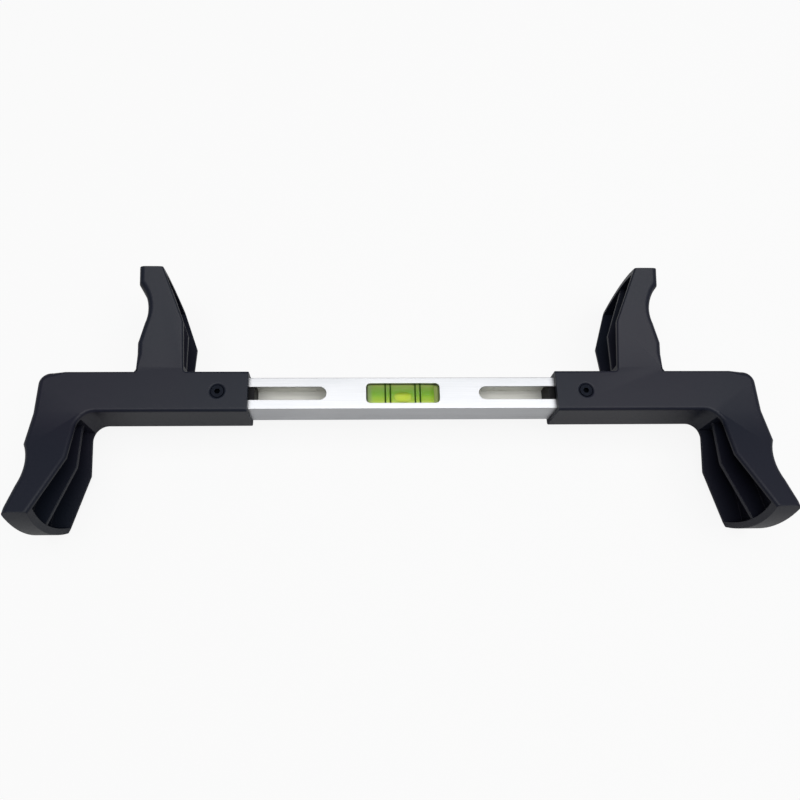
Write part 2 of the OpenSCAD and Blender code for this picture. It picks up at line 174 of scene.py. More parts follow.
def cutAnew(work, first, flat):
    # fills a flat from its outline, with its holes left open and only its shortest inner edges
    normal, material, smooth = first.normal.copy(), first.material_index, first.smooth
    edges = inOrder({e for f in flat for e in f.edges})
    rim = [e for e in edges if sum(f in flat for f in e.link_faces) == 1]
    corners = sorted({v for e in rim for v in e.verts}, key=lambda v: v.index)
    place = {v: i for i, v in enumerate(corners)}
    turn = normal.rotation_difference(Vector((0, 0, 1)))
    spots = [(turn @ v.co).to_2d() for v in corners]
    pairs = [tuple(place[v] for v in e.verts) for e in rim]
    found = delaunay_2d_cdt(spots, pairs, [], 0, copying["solver"])
    foundSpots, foundFaces, sources = found[0], found[2], found[3]
    if len(foundSpots) != len(spots) or any(len(same) != 1 for same in sources):
        return False  # the outline crosses itself
    lines = [(spots[i], spots[j]) for i, j in pairs]
    bmesh.ops.delete(work, geom=list(flat), context="FACES_ONLY")
    for edge in edges:
        if not edge.link_faces and edge not in rim:
            work.edges.remove(edge)
    fresh = []
    for foundFace in foundFaces:
        triangle = [sources[i][0] for i in foundFace]
        if not insideEdges(sum((spots[i] for i in triangle), Vector((0, 0))) / 3, lines):
            continue
        face = work.faces.new([corners[i] for i in triangle])
        face.material_index, face.smooth = material, smooth
        face.normal_update()
        if face.normal.dot(normal) < 0:
            face.normal_flip()
        fresh.append(face)
    inner = {e for f in fresh for e in f.edges if sum(g in fresh for g in e.link_faces) == 2}
    for edge in sorted(inOrder(inner), key=lambda e: -round(e.calc_length(), 7)):
        # a join that would leave a hole is refused, and its edge stays
        beside = list(edge.link_faces) if edge.is_valid else []
        if len(beside) == 2 and beside[0] is not beside[1]:
            try:
                bmesh.utils.face_join(beside)
            except ValueError:
                pass
    return True


def cutFlatsWithHoles(piece):
    # edges that cross a flat from hole to outline leave the hole at right angles, so that a round
    # on the hole's rim can pass them
    done, cut = set(), 0
    with edited(piece) as work:
        work.normal_update()
        work.verts.index_update()
        for face in list(work.faces):
            if face in done:
                continue
            flat = levelFaces(face)
            done |= flat
            if len(flat) > 1:
                cut += cutAnew(work, face, flat)
        bare = [v for v in work.verts if not v.link_faces]
        bmesh.ops.delete(work, geom=bare, context="VERTS")
    print(piece.name, "flats with holes:", cut)


def closedCopy(nodeName, pieceName, material):
    # the CAD node's loose triangles, joined at their corners and dissolved into flat faces
    source = nodes[nodeName].data
    keys = [tuple(round(c * copying["keysPerMetre"]) for c in v.co) for v in source.vertices]
    index, points, faces = {}, [], []
    for key, vertex in zip(keys, source.vertices):
        if key not in index:
            index[key] = len(points)
            points.append(tuple(vertex.co))
    for polygon in source.polygons:
        face = [index[keys[v]] for v in polygon.vertices]
        if len(set(face)) == 3:
            faces.append(face)
    piece = meshPiece(pieceName, points, faces, material)
    with edited(piece) as work:
        bmesh.ops.dissolve_limit(
            work, angle_limit=math.radians(copying["flatAngle"]), verts=work.verts[:],
            edges=work.edges[:], use_dissolve_boundaries=False,
        )
    cutFlatsWithHoles(piece)
    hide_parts(nodeName)
    return piece


def softenEdges(piece, widthMm):
    # a small round on every sharp edge, shaded so that the flats stay flat; it takes no more than a
    # share of the faces beside it, so that it hardly ever folds over itself
    with edited(piece) as work:
        bmesh.ops.remove_doubles(work, verts=work.verts, dist=placeGap * mm)
        layers = work.edges.layers.float
        weight = layers.get("bevel_weight_edge") or layers.new("bevel_weight_edge")
        for edge in work.edges:
            edge[weight] = 0
            sharpAngle = math.radians(rounding["sharpAngle"])
            if len(edge.link_faces) == 2 and edge.calc_face_angle() > sharpAngle:
                beside = min(f.calc_area() for f in edge.link_faces) / edge.calc_length() / mm
                edge[weight] = min(1, rounding["room"] * beside / widthMm)
    bevel = piece.modifiers.new("edge rounds", "BEVEL")
    bevel.width = widthMm * mm
    bevel.segments = rounding["segments"]
    bevel.limit_method = "WEIGHT"
    bevel.use_clamp_overlap = False
    bevel.miter_outer = "MITER_SHARP"
    bevel.harden_normals = False
    applyModifiers(piece)
    normals = piece.modifiers.new("flat normals", "WEIGHTED_NORMAL")
    normals.keep_sharp = False
    normals.weight = 100


# materials

def newMaterial(name):
    # a material that is still empty, and its tree
    material = bpy.data.materials.new(name)
    material.use_nodes = True
    material.node_tree.nodes.clear()
    return material, material.node_tree


def surfaced(material, inputs):
    # the material with a Principled shader that has these inputs
    tree = material.node_tree
    shader = addNode(tree, "ShaderNodeBsdfPrincipled", {}, inputs)
    addNode(tree, "ShaderNodeOutputMaterial", {}, {"Surface": shader})
    return material


def objectPoints(tree, stretch=(1, 1, 1)):
    # object coordinates in metres, which stay put on a piece from every view
    coordinates = addNode(tree, "ShaderNodeTexCoord")
    return addNode(tree, "ShaderNodeMapping", {}, {
        "Vector": coordinates.outputs["Object"], "Scale": stretch})


def blobs(sizeMm):
    # the scale of a noise whose blobs are about this large
    return 1000 / sizeMm


def spreadAcross(tree, axis, low, high, stops):
    # a colour that changes along one object axis between low and high, in mm
    place = addNode(tree, "ShaderNodeSeparateXYZ", {}, {"Vector": objectPoints(tree)})
    share = addNode(tree, "ShaderNodeMapRange", {}, {
        "Value": place.outputs[axis], "From Min": low * mm, "From Max": high * mm})
    return addNode(tree, "ShaderNodeValToRGB", {"stops": stops}, {"Fac": share})


def mouldedAbs():
    # ABS, injection moulded in a spark eroded tool: near black with a cool cast that drifts towards
    # violet, a fine matt grain, and soft wide highlights on its rounded edges
    material, tree = newMaterial("mouldedAbs")
    points = objectPoints(tree)
    drift = addNode(tree, "ShaderNodeTexNoise", {}, {
        "Vector": points, "Scale": blobs(70), "Detail": 1.0})
    tone = addNode(tree, "ShaderNodeValToRGB", {
        "stops": [(0.35, "#131925"), (0.65, "#181926")]}, {"Fac": drift})
    grain = addNode(tree, "ShaderNodeTexNoise", {}, {
        # the grit is 0.1 mm; drawn coarser so that it shows
        "Vector": points, "Scale": blobs(0.45), "Detail": 4.0})
    sheen = addNode(tree, "ShaderNodeValToRGB", {
        "stops": [(0.3, 0.40), (0.7, 0.50)]}, {"Fac": grain})
    relief = addNode(tree, "ShaderNodeBump", {}, {"Height": grain, "Distance": 0.02 * mm})
    return surfaced(material, {
        "Base Color": tone, "Roughness": sheen, "IOR": 1.54, "Specular IOR Level": 0.22,
        "Normal": relief})


def blackNylon():
    # glass filled nylon, moulded: deep black and dull, with faint flow clouds
    material, tree = newMaterial("blackNylon")
    points = objectPoints(tree)
    cloud = addNode(tree, "ShaderNodeTexNoise", {}, {
        "Vector": points, "Scale": blobs(6), "Detail": 2.0})
    tone = addNode(tree, "ShaderNodeValToRGB", {
        "stops": [(0.3, "#0b0b0d"), (0.7, "#121215")]}, {"Fac": cloud})
    grain = addNode(tree, "ShaderNodeTexNoise", {}, {
        "Vector": points, "Scale": blobs(0.4), "Detail": 3.0})
    relief = addNode(tree, "ShaderNodeBump", {}, {"Height": grain, "Distance": 0.01 * mm})
    return surfaced(material, {
        "Base Color": tone, "Roughness": 0.5, "IOR": 1.53, "Specular IOR Level": 0.12,
        "Normal": relief})


def extrudedAluminium():
    # 6063 aluminium, extruded and satin anodised: pale, with die lines along the tube that stretch
    # its reflections, and a slight cloudiness from the etch
    material, tree = newMaterial("extrudedAluminium")
    fine = addNode(tree, "ShaderNodeTexNoise", {}, {
        # die lines run the length of the tube
        "Vector": objectPoints(tree, (0.012, 1, 1)), "Scale": blobs(0.35), "Detail": 3.0})
    cloud = addNode(tree, "ShaderNodeTexNoise", {}, {
        "Vector": objectPoints(tree, (0.3, 1, 1)), "Scale": blobs(9), "Detail": 2.0})
    mix = addNode(tree, "ShaderNodeMix", {"data_type": "FLOAT"}, {0: 0.45, 2: fine, 3: cloud})
    tone = addNode(tree, "ShaderNodeValToRGB", {
        "stops": [(0.3, "#b8babd"), (0.7, "#cccdd0")]}, {"Fac": mix})
    sheen = addNode(tree, "ShaderNodeValToRGB", {
        "stops": [(0.3, 0.35), (0.7, 0.46)]}, {"Fac": mix})
    relief = addNode(tree, "ShaderNodeBump", {}, {"Height": fine, "Distance": 0.006 * mm})
    return surfaced(material, {
        "Base Color": tone, "Metallic": 1.0, "Roughness": sheen, "Normal": relief})


def millAluminium():
    # the same extrusion's inside, left as it came from the die: pale and dull, so that it scatters
    # the light that falls in through the slots
    material, tree = newMaterial("millAluminium")
    streaks = addNode(tree, "ShaderNodeTexNoise", {}, {
        "Vector": objectPoints(tree, (0.05, 1, 1)), "Scale": blobs(1.2), "Detail": 3.0})
    tone = addNode(tree, "ShaderNodeValToRGB", {
        "stops": [(0.3, "#eaeae4"), (0.7, "#f6f6f1")]}, {"Fac": streaks})
    relief = addNode(tree, "ShaderNodeBump", {}, {"Height": streaks, "Distance": 0.01 * mm})
    return surfaced(material, {"Base Color": tone, "Roughness": 0.6, "Normal": relief})


def blackOxideSteel(part):
    # alloy steel, turned and black oxided: blue black metal with an oily mottle; the socket is
    # painted its blackest, as painted shade in the recess
    material, tree = newMaterial("blackOxideSteel")
    points = objectPoints(tree)
    cloud = addNode(tree, "ShaderNodeTexNoise", {}, {
        "Vector": points, "Scale": blobs(1.2), "Detail": 3.0})
    oxide = addNode(tree, "ShaderNodeValToRGB", {
        "stops": [(0.3, "#12141a"), (0.7, "#1b1e25")]}, {"Fac": cloud})
    # painted shade: darker down into the socket
    low, high = part["headTop"] - part["socketShadeDepth"], part["headTop"]
    socketShade = spreadAcross(tree, "Z", low, high, [(0.0, 1.0), (0.9, 0.0)])
    tone = addNode(tree, "ShaderNodeMix", {"data_type": "RGBA"}, {
        0: socketShade, 6: oxide, 7: hexColour("#030406")}).outputs[2]
    sheen = addNode(tree, "ShaderNodeValToRGB", {
        "stops": [(0.3, 0.34), (0.7, 0.5)]}, {"Fac": cloud})
    grain = addNode(tree, "ShaderNodeTexNoise", {}, {
        "Vector": points, "Scale": blobs(0.3), "Detail": 3.0})
    relief = addNode(tree, "ShaderNodeBump", {}, {"Height": grain, "Distance": 0.008 * mm})
    return surfaced(material, {
        "Base Color": tone, "Metallic": 1.0, "Roughness": sheen, "Normal": relief})


def zincPlatedSteel():
    # steel, cold formed and bright zinc plated: bluish silver with soft mottling
    material, tree = newMaterial("zincPlatedSteel")
    points = objectPoints(tree)
    cloud = addNode(tree, "ShaderNodeTexNoise", {}, {
        "Vector": points, "Scale": blobs(1.5), "Detail": 3.0})
    tone = addNode(tree, "ShaderNodeValToRGB", {
        "stops": [(0.3, "#a9aeb4"), (0.7, "#c3c6c9")]}, {"Fac": cloud})
    grain = addNode(tree, "ShaderNodeTexNoise", {}, {
        "Vector": points, "Scale": blobs(0.4), "Detail": 3.0})
    relief = addNode(tree, "ShaderNodeBump", {}, {"Height": grain, "Distance": 0.006 * mm})
    return surfaced(material, {
        "Base Color": tone, "Metallic": 1.0, "Roughness": 0.3, "Normal": relief})


def drawnSpringWire():
    # music wire, cold drawn: bright grey steel with faint die marks and an oily sheen
    material, tree = newMaterial("drawnSpringWire")
    points = objectPoints(tree)
    cloud = addNode(tree, "ShaderNodeTexNoise", {}, {
        "Vector": points, "Scale": blobs(0.8), "Detail": 2.0})
    tone = addNode(tree, "ShaderNodeValToRGB", {
        "stops": [(0.3, "#7f8388"), (0.7, "#a4a7aa")]}, {"Fac": cloud})
    marks = addNode(tree, "ShaderNodeTexNoise", {}, {
        "Vector": points, "Scale": blobs(0.25), "Detail": 3.0})
    relief = addNode(tree, "ShaderNodeBump", {}, {"Height": marks, "Distance": 0.004 * mm})
    return surfaced(material, {
        "Base Color": tone, "Metallic": 1.0, "Roughness": 0.26, "Normal": relief})


def whiteStyrene():
    # high impact styrene, moulded: warm white, faintly see through at its edges, satin
    material, tree = newMaterial("whiteStyrene")
    points = objectPoints(tree)
    cloud = addNode(tree, "ShaderNodeTexNoise", {}, {
        "Vector": points, "Scale": blobs(8), "Detail": 2.0})
    tone = addNode(tree, "ShaderNodeValToRGB", {
        "stops": [(0.3, "#e4e6d8"), (0.7, "#eceee2")]}, {"Fac": cloud})
    grain = addNode(tree, "ShaderNodeTexNoise", {}, {
        "Vector": points, "Scale": blobs(0.5), "Detail": 3.0})
    relief = addNode(tree, "ShaderNodeBump", {}, {"Height": grain, "Distance": 0.01 * mm})
    return surfaced(material, {
        "Base Color": tone, "Roughness": 0.45, "IOR": 1.59, "Subsurface Weight": 0.15,
        "Subsurface Scale": 0.002, "Normal": relief})


def clearAcrylic():
    # cast acrylic, polished: a clear skin with a hard gloss, faintly green from what it holds
    material, tree = newMaterial("clearAcrylic")
    waves = addNode(tree, "ShaderNodeTexNoise", {}, {
        # polishing leaves long shallow waves
        "Vector": objectPoints(tree, (0.3, 1, 1)), "Scale": blobs(5), "Detail": 1.0})
    relief = addNode(tree, "ShaderNodeBump", {}, {"Height": waves, "Distance": 0.01 * mm})
    return surfaced(material, {
        "Base Color": hexColour("#4f6a1c"), "Roughness": 0.05, "IOR": 1.49, "Alpha": 0.12,
        "Normal": relief})


def dyedSpiritPaintedLight(part):
    # spirit dyed yellow green, with painted light and shade as the round acrylic shows it: painted
    # shade in leaf green above, painted light in lime in the lower half, and painted shade in dull
    # olive at the closed end
    material, tree = newMaterial("dyedSpiritPaintedLight")
    # painted light and shade across the spirit: palest at the bottom, darker towards the top
    tone = spreadAcross(tree, "Y", -part["paintedLightReach"], part["paintedLightReach"], [
        (0.0, "#cfe268"), (0.2, "#a6c63c"), (0.33, "#9cc638"), (0.45, "#84b634"), (0.62, "#79aa36"),
        (0.8, "#84a544"), (1.0, "#9aa862")])
    # painted shade: dull olive towards the closed end
    end = spreadAcross(tree, "X", part["closedEnd"], part["stopperFace"], [
        (0.0, 1.0), (0.035, 0.75), (0.09, 0.0)])
    both = addNode(tree, "ShaderNodeMix", {"data_type": "RGBA"}, {
        0: end, 6: tone, 7: hexColour("#87966a")}).outputs[2]
    return surfaced(material, {
        "Base Color": both, "Roughness": 0.3, "IOR": 1.36, "Specular IOR Level": 0.2,
        "Subsurface Weight": 0.25, "Subsurface Scale": 0.002})


def spiritBubble(part):
    # the gas in the dyed spirit: yellow green, with painted light in its lower half and painted
    # shade on its upper rim and its ends
    material, tree = newMaterial("spiritBubble")
    tone = spreadAcross(tree, "Y", part["paintedLightLow"], part["paintedLightHigh"], [
        (0.0, "#a8bc34"), (0.2, "#d2e234"), (0.55, "#cce03c"), (0.8, "#94b030"), (1.0, "#64801c")])
    # painted shade: darker towards the bubble's two ends
    paintedRimShade = spreadAcross(tree, "X", -part["length"] / 2, part["length"] / 2, [
        (0.0, 0.8), (0.1, 0.15), (0.5, 0.0), (0.9, 0.15), (1.0, 0.8)])
    both = addNode(tree, "ShaderNodeMix", {"data_type": "RGBA"}, {
        0: paintedRimShade, 6: tone, 7: hexColour("#7f9a35")}).outputs[2]
    return surfaced(material, {
        "Base Color": both, "Roughness": 0.2, "IOR": 1.36, "Specular IOR Level": 0.3,
        "Subsurface Weight": 0.2, "Subsurface Scale": 0.001})


def oliveStopper(part):
    # polypropylene stopper, moulded with rings, seen through the dyed vial: dull olive, with the
    # outer end in the tube's shade
    material, tree = newMaterial("oliveStopper")
    tone = spreadAcross(tree, "X", part["stopperFace"], part["shadeStart"], [
        (0.0, "#84934a"), (0.45, "#98a75e"), (0.75, "#66723f"), (1.0, "#4f5a35")])
    grain = addNode(tree, "ShaderNodeTexNoise", {}, {
        "Vector": objectPoints(tree), "Scale": blobs(0.5), "Detail": 3.0})
    relief = addNode(tree, "ShaderNodeBump", {}, {"Height": grain, "Distance": 0.01 * mm})
    return surfaced(material, {
        "Base Color": tone, "Roughness": 0.35, "IOR": 1.49, "Normal": relief})


def printedInk():
    # screen printed ink: green black by the dyed light behind it, dead matt, uneven in its cover
    material, tree = newMaterial("printedInk")
    cover = addNode(tree, "ShaderNodeTexNoise", {}, {
        "Vector": objectPoints(tree), "Scale": blobs(0.4), "Detail": 3.0})
    tone = addNode(tree, "ShaderNodeValToRGB", {
        "stops": [(0.3, "#263f0b"), (0.7, "#335010")]}, {"Fac": cover})
    return surfaced(material, {
        "Base Color": tone, "Roughness": 0.6, "IOR": 1.5, "Specular IOR Level": 0.1})


materials = {
    "abs": mouldedAbs(), "nylon": blackNylon(), "aluminium": extrudedAluminium(),
    "mill": millAluminium(), "zinc": zincPlatedSteel(), "wire": drawnSpringWire(),
    "styrene": whiteStyrene(), "acrylic": clearAcrylic(), "ink": printedInk(),
}  # the screws, the spirit, the bubble and the stopper get theirs beside their sizes
print("materials made:", len(materials))


# casings

casing = {
    # sizes of the moulding, in mm from the tube's centre
    "armSide": 12.1, "halfDepth": 13.6, "flare": 15.4 / 58.9, "edgeReach": 71.0,
    "narrowMiddle": 142.0, "wideMiddle": 197.0,  # x between a jaw's inner and outer sides
    "mouthReach": 100.0,  # x up to which an edge may belong to the sleeve's mouth
    "upperEdgeStart": 153.0,  # x past which the arm's upper edge is free of the narrow jaw
    "narrowFilletTop": 14.1, "armCornerStart": 198.0,  # where the outer round starts to fade
    "crownDepth": 23.0,  # from the middle plane to the crown's facets beside a round
    "creaseShift": 1.9,  # how far up a fillet the crease between arm and jaw is moved
    "facetLength": 3.0, "runLength": 4.0,  # a fillet's facets are shorter, straight runs longer
    # rounds, in mm
    "outerRound": 4.0,  # front and back edges of the jaws' outer sides and of the arm's outer end
    "innerRound": 2.0,  # the wide jaw's inner edges and the arm's lower edge
    "topRound": 1.4,  # the arm's upper edge and the narrow jaw's inner edges
    "smallRound": 0.35,  # everything else
    "fade": 8,  # length over which the outer round fades into the upper edge's
    "segments": 6,
}


def onSkin(part, vertex):
    # whether a vertex lies on the moulding's front or back surface, or on a rest flat
    y, z = vertex.co.y / mm, vertex.co.z / mm
    depth = part["halfDepth"] + part["flare"] * max(abs(y) - part["armSide"], 0)
    return abs(z - axisHeight / mm) > depth - surfaceGap or z < placeGap


def widenEndStrips(work, part):
    # the crown's facets next to a round are joined, so that the round fits inside one of them
    near = [
        edge for edge in work.edges
        if len(edge.link_faces) == 2
        and all(abs(v.co.y / mm) > part["edgeReach"] and not onSkin(part, v) for v in edge.verts)
        and all(abs(v.co.z - axisHeight) > part["crownDepth"] * mm for v in edge.verts)
        and abs((edge.verts[1].co - edge.verts[0].co).normalized().x) > keeping
    ]
    bmesh.ops.dissolve_edges(work, edges=near, use_verts=True, use_face_split=False)


def moveCreases(work, part):
    # the crease between arm and jaw starts part way round each fillet, where it leaves the outline
    # at a wide angle and the round can pass it
    creases = [
        edge for edge in work.edges
        if len(edge.link_faces) == 2
        and all(abs(abs(v.co.y / mm) - part["armSide"]) < placeGap for v in edge.verts)
        and all(onSkin(part, v) for v in edge.verts)
        and all(abs(face.normal.z) > running for face in edge.link_faces)
    ]
    for crease in creases:
        ends = []
        for vertex in crease.verts:
            # walk along the outline into the fillet, towards the jaw
            here, before = vertex, crease
            while abs(here.co.y / mm) < part["armSide"] + part["creaseShift"]:
                ahead = [
                    e for e in here.link_edges
                    if e is not before and onSkin(part, e.other_vert(here))
                    and abs(e.other_vert(here).co.y) > abs(here.co.y) + 1e-8  # not level with it
                    and e.calc_length() < part["facetLength"] * mm
                ]
                if not ahead:
                    break
                before = ahead[0]
                here = before.other_vert(here)
            ends.append(here)
        if ends == list(crease.verts):
            continue
        joined = bmesh.utils.face_join(list(crease.link_faces))
        bmesh.utils.face_split(joined, ends[0], ends[1])


def splitRuns(work, part):
    # extra points on two straight edges, so that a round can fade along them
    run, steps = part["runLength"], range(1, part["fade"] + 1)
    for edge in list(work.edges):
        if not all(onSkin(part, v) for v in edge.verts) or edge.calc_length() < run * mm:
            continue
        first, second = edge.verts
        middle = (first.co + second.co) / 2 / mm
        across, along = (abs(first.co[i] - second.co[i]) / mm for i in (0, 1))
        upright, flat = across < straightGap and along > run, along < straightGap and across > run
        above = middle.y > part["narrowFilletTop"] and abs(middle.x) > part["narrowMiddle"]
        if upright and above:
            axis, stops = 1, [part["narrowFilletTop"] + i for i in steps]
        elif flat and middle.y > 0 and abs(middle.x) > part["upperEdgeStart"]:
            axis, stops = 0, [part["armCornerStart"] - i for i in steps]
        else:
            continue
        # split from the end that the fade starts at, always keeping the far remainder
        near, far = sorted(edge.verts, key=lambda v: abs(abs(v.co[axis] / mm) - stops[0]))
        for stop in stops:
            span = abs(far.co[axis]) - abs(near.co[axis])
            share = (stop * mm - abs(near.co[axis])) / span
            if not 0.001 < share < 0.999:  # no points at the edge's ends
                continue
            edge, near = bmesh.utils.edge_split(edge, near, share)
            edge = next(e for e in near.link_edges if far in e.verts)


def outlineRound(part, edge):
    # radius for an edge of the front or back surface's outline, or 0 for any other edge
    if len(edge.link_faces) != 2 or not all(onSkin(part, v) for v in edge.verts):
        return 0
    tilts = sorted(abs(face.normal.z) for face in edge.link_faces)
    if tilts[0] > leaning or tilts[1] < running:
        return 0
    middle = (edge.verts[0].co + edge.verts[1].co) / 2 / mm
    line = (edge.verts[1].co - edge.verts[0].co).normalized()
    if abs(line.z) > running:
        return 0
    x, y = abs(middle.x), middle.y
    if abs(y) > part["edgeReach"] - placeGap and abs(line.x) > running:
        return 0  # a jaw's end wall cuts the rounds off
    if y > part["armSide"] + straightGap:
        if x < part["narrowMiddle"]:
            return part["topRound"]
        share = min(max((y - part["narrowFilletTop"]) / part["fade"], 0), 1)
    elif y < -part["armSide"] + straightGap:
        return part["outerRound"] if x > part["wideMiddle"] else part["innerRound"]
    elif x < part["mouthReach"] and abs(line.y) > running:
        return 0  # the sleeve's mouth
    elif x > part["upperEdgeStart"]:
        share = min(max((x - part["armCornerStart"]) / part["fade"] + 1, 0), 1)
    else:
        share = 0
    return part["topRound"] + (part["outerRound"] - part["topRound"]) * share


def buildCasing(side):
    piece = closedCopy(side + "_casing", side + "_casing_shell", materials["abs"])
    with edited(piece) as work:
        widenEndStrips(work, casing)
        work.normal_update()
        moveCreases(work, casing)
        splitRuns(work, casing)
        work.normal_update()
        weight = work.edges.layers.float.new("bevel_weight_edge")
        for edge in work.edges:
            edge[weight] = outlineRound(casing, edge) / casing["outerRound"]
    rounds = piece.modifiers.new("outline rounds", "BEVEL")
    rounds.width = casing["outerRound"] * mm
    rounds.segments = casing["segments"]
    rounds.limit_method = "WEIGHT"
    rounds.use_clamp_overlap = False
    applyModifiers(piece)
    piece.data.polygons.foreach_set("use_smooth", [True] * len(piece.data.polygons))
    softenEdges(piece, casing["smallRound"])
    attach(piece, side + "_end")


for side in ("left", "right"):
    buildCasing(side)
print("casings made")


# tube

tube = {
    "cornerRound": 0.35,  # mm, on the extrusion's four long edges
    "cornerSegments": 4,
    "cornerLength": 10.0,  # mm, which an edge of a corner is longer than
    "cutRound": 0.12,  # mm, where the slots and the window are milled
    "wall": 1.5,  # mm
}


def buildTube(part):
    piece = closedCopy("bar_tube", "bar_tube_extrusion", materials["aluminium"])
    low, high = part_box("bar_tube")

    def sideDepths(point):
        # how far a point lies inside the tube's back and front, and inside its sides
        return [min(point[i] - low[i], high[i] - point[i]) for i in (1, 2)]

    with edited(piece) as work:
        corners = [
            edge for edge in work.edges
            if all(max(sideDepths(v.co)) < straightGap * mm for v in edge.verts)
            and edge.calc_length() > part["cornerLength"] * mm
        ]
        bmesh.ops.bevel(
            work, geom=corners, offset=part["cornerRound"] * mm, segments=part["cornerSegments"],
            profile=0.5, affect="EDGES", clamp_overlap=False,
        )
        # the inside is left as extruded and dull; the milled cuts shine like the outside
        for face in work.faces:
            middle = face.calc_center_median()
            inside = min(sideDepths(middle)) > part["wall"] * 0.9 * mm
            atEnd = min(middle.x - low.x, high.x - middle.x) <= surfaceGap * mm
            face.material_index = 1 if inside and not atEnd else 0
    piece.data.materials.append(materials["mill"])
    piece.data.polygons.foreach_set("use_smooth", [True] * len(piece.data.polygons))
    softenEdges(piece, part["cutRound"])
    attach(piece, "bar")


buildTube(tube)
print("tube made")


# springs

spring = {
    # mm
    "outside": 12.5, "wire": 1.2, "turns": 11, "start": 125.5, "end": 200.8, "endPitch": 1.8,
    "stepsPerTurn": 40, "wireSides": 12, "solidLength": 16.4,
}


def springTree(part):
    # a helix whose first and last turns close up, swept with a round wire
    tree = bpy.data.node_groups.new("coilSpring", "GeometryNodeTree")
    tree.interface.new_socket(
        name="Geometry", in_out="OUTPUT", socket_type="NodeSocketGeometry")
    sizes = {}
    for name in ("Radius", "Wire radius", "Length", "Turns", "End pitch", "Start"):
        sizes[name] = tree.interface.new_socket(
            name=name, in_out="INPUT", socket_type="NodeSocketFloat")
    size = addNode(tree, "NodeGroupInput").outputs
    index = addNode(tree, "GeometryNodeInputIndex")
    # each sum is an operation on plain numbers, sizes and the sums before it, named by their texts
    sums = {
        "turn": ("DIVIDE", index, part["stepsPerTurn"]),
        "angle": ("MULTIPLY", "turn", 2 * math.pi),
        # one close turn at each end
        "firstTurn": ("MINIMUM", "turn", 1.0),
        "lastStart": ("SUBTRACT", size["Turns"], 1.0),
        "pastLastStart": ("SUBTRACT", "turn", "lastStart"),
        "lastTurn": ("MAXIMUM", "pastLastStart", 0.0),
        "closeTurns": ("ADD", "firstTurn", "lastTurn"),
        "closeRise": ("MULTIPLY", "closeTurns", size["End pitch"]),
        # an even pitch between them
        "laterTurns": ("SUBTRACT", "turn", "firstTurn"),
        "middleTurns": ("SUBTRACT", "laterTurns", "lastTurn"),
        "wire": ("MULTIPLY", size["Wire radius"], 2.0),
        "closeLength": ("MULTIPLY_ADD", size["End pitch"], 2.0, "wire"),
        "openLength": ("SUBTRACT", size["Length"], "closeLength"),
        "openTurns": ("SUBTRACT", size["Turns"], 2.0),
        "pitch": ("DIVIDE", "openLength", "openTurns"),
        # the place of each point on the coil
        "climb": ("MULTIPLY_ADD", "middleTurns", "pitch", "closeRise"),
        "rise": ("ADD", "climb", size["Wire radius"]),
        "x": ("ADD", "rise", size["Start"]),
        "cosine": ("COSINE", "angle"),
        "y": ("MULTIPLY", "cosine", size["Radius"]),
        "sine": ("SINE", "angle"),
        "z": ("MULTIPLY", "sine", size["Radius"]),
    }
    found = {}
    for name, (operation, *values) in sums.items():
        found[name] = addNode(tree, "ShaderNodeMath", {"operation": operation}, {
            i: found[value] if isinstance(value, str) else value
            for i, value in enumerate(values)})
    place = addNode(tree, "ShaderNodeCombineXYZ", {}, {
        "X": found["x"], "Y": found["y"], "Z": found["z"]})
    lifted = addNode(tree, "ShaderNodeVectorMath", {"operation": "ADD"}, {
        0: place, 1: (0, 0, axisHeight)})
    line = addNode(tree, "GeometryNodeMeshLine", {}, {
        "Count": part["turns"] * part["stepsPerTurn"] + 1, "Offset": (0, 0, 0)})
    points = addNode(tree, "GeometryNodeSetPosition", {}, {"Geometry": line, "Position": lifted})
    path = addNode(tree, "GeometryNodeMeshToCurve", {}, {"Mesh": points})
    ring = addNode(tree, "GeometryNodeCurvePrimitiveCircle", {}, {
        "Resolution": part["wireSides"], "Radius": size["Wire radius"]})
    wire = addNode(tree, "GeometryNodeCurveToMesh", {}, {
        "Curve": path, "Profile Curve": ring, "Fill Caps": True})
    shaded = addNode(tree, "GeometryNodeSetShadeSmooth", {}, {"Geometry": wire})
    real = addNode(tree, "GeometryNodeRealizeInstances", {}, {"Geometry": shaded})
    finish = addNode(tree, "GeometryNodeSetMaterial", {}, {
        "Geometry": real, "Material": materials["wire"]})
    addNode(tree, "NodeGroupOutput", {}, {"Geometry": finish})
    return tree, sizes


def evaluated(name, tree, sizes, values):
    # runs a Geometry Nodes tree on an empty mesh and keeps the result as a plain mesh
    carrier = bpy.data.objects.new(name + "_nodes", bpy.data.meshes.new(name))
    scene.collection.objects.link(carrier)
    modifier = carrier.modifiers.new("nodes", "NODES")
    modifier.node_group = tree
    for label, value in values.items():
        modifier[sizes[label].identifier] = value
    graph = bpy.context.evaluated_depsgraph_get()
    mesh = bpy.data.meshes.new_from_object(carrier.evaluated_get(graph))
    bpy.data.objects.remove(carrier)
    mesh.name = name
    piece = bpy.data.objects.new(name, mesh)
    scene.collection.objects.link(piece)
    return piece


def buildSpring(side, tree, sizes, part):
    piece = evaluated(side + "_spring_coil", tree, sizes, {
        "Radius": (part["outside"] - part["wire"]) / 2 * mm, "Wire radius": part["wire"] / 2 * mm,
        "Length": (part["end"] - part["start"]) * mm, "Turns": float(part["turns"]),
        "End pitch": part["endPitch"] * mm, "Start": part["start"] * mm,
    })
    if side == "left":
        with edited(piece) as work:
            bmesh.ops.scale(work, vec=(-1, 1, 1), verts=work.verts)
    outward(piece)
    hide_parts(side + "_spring")
    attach(piece, "bar")
    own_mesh(piece)


springNodes, springSizes = springTree(spring)
for side in ("left", "right"):
    buildSpring(side, springNodes, springSizes, spring)
print("springs made")


# vial

